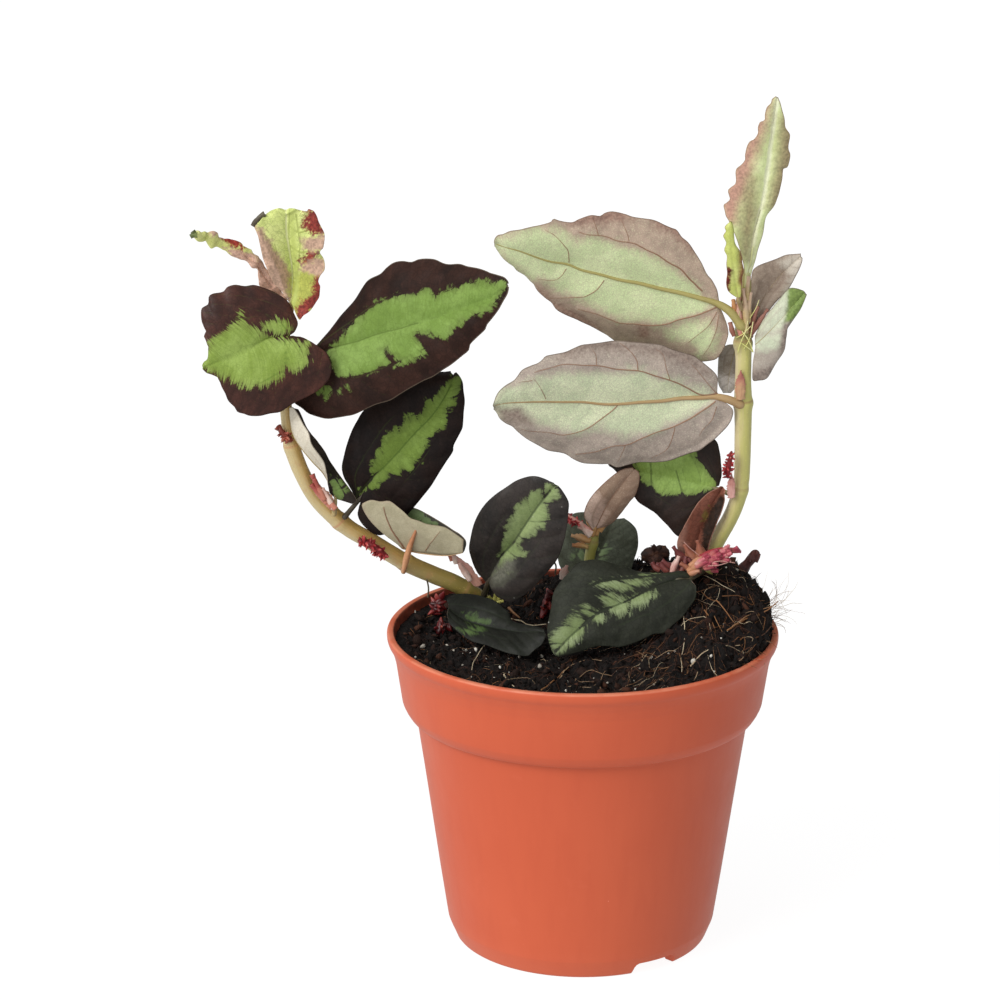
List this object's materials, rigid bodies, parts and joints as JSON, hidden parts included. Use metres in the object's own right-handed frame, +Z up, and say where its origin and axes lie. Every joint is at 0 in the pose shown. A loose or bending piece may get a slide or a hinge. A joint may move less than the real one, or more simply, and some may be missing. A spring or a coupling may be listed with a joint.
{
  "type": "potted watermelon begonia",
  "caption": "Trailing watermelon begonia with arching stems and dark, green-centred leaves, rooted in soil in a round terracotta-coloured nursery pot.",
  "frame": {"origin": "middle of the pot's base, on the surface it stands on", "axes": "+Z up; -Y is the front that shows the arching stems side by side; +X is to the viewer's right"},
  "size_m": [0.1799, 0.12, 0.2635],
  "materials": {
    "pot_plastic": "satin terracotta-coloured plastic with fine light specks",
    "potting_soil": "dark peaty soil with white perlite grains and pale roots",
    "stem_skin": "smooth fleshy yellow-olive skin",
    "old_stem": "dull red-brown withered stem",
    "leaf_upper": "satin near-black maroon with a feathered green centre",
    "leaf_underside": "matte pale green with mauve margins and brown veins",
    "leaf_young": "yellow-green with pink crimped margins",
    "flower_bud": "crimson knobbly flower buds",
    "stipule": "thin pink to tan papery scale",
    "dry_leaf": "brown-red withered leaf"
  },
  "bodies": {
    "root": {"bract_right_base": "stipule", "bud_centre": "flower_bud", "bud_left_lower": "flower_bud", "bud_left_upper": "flower_bud", "bud_middle_shoot": "flower_bud", "bud_pot_front": "flower_bud", "bud_pot_left": "flower_bud", "bud_right_base": "flower_bud", "bud_right_stem": "flower_bud", "dry_leaf_ball": "dry_leaf", "leaf_behind_right": "leaf_upper", "leaf_behind_stem": "leaf_underside", "leaf_folded_red": "dry_leaf", "leaf_front": "leaf_upper", "leaf_front_curled": "leaf_upper", "leaf_left_big": "leaf_upper", "leaf_left_curled": "leaf_young", "leaf_left_dark": "leaf_upper", "leaf_left_folded": "leaf_upper", "leaf_left_pale": "leaf_underside", "leaf_left_round": "leaf_upper", "leaf_left_upright": "leaf_young", "leaf_middle_back": "leaf_upper", "leaf_middle_oval": "leaf_upper", "leaf_right_lower": "leaf_underside", "leaf_right_upper": "leaf_underside", "leaf_tip_mauve": "leaf_underside", "leaf_tip_pale": "leaf_underside", "leaf_top": "leaf_young", "leaf_top_bud": "leaf_young", "leaf_young_pink": "leaf_young", "pot": "pot_plastic", "scale_left_base": "stipule", "scale_left_lower": "stipule", "scale_right_joint": "stipule", "scale_right_lower": "stipule", "soil": "potting_soil", "stem_left": "stem_skin", "stem_middle": "stem_skin", "stem_right": "stem_skin", "stem_stub": "old_stem"}
  },
  "joints": []
}
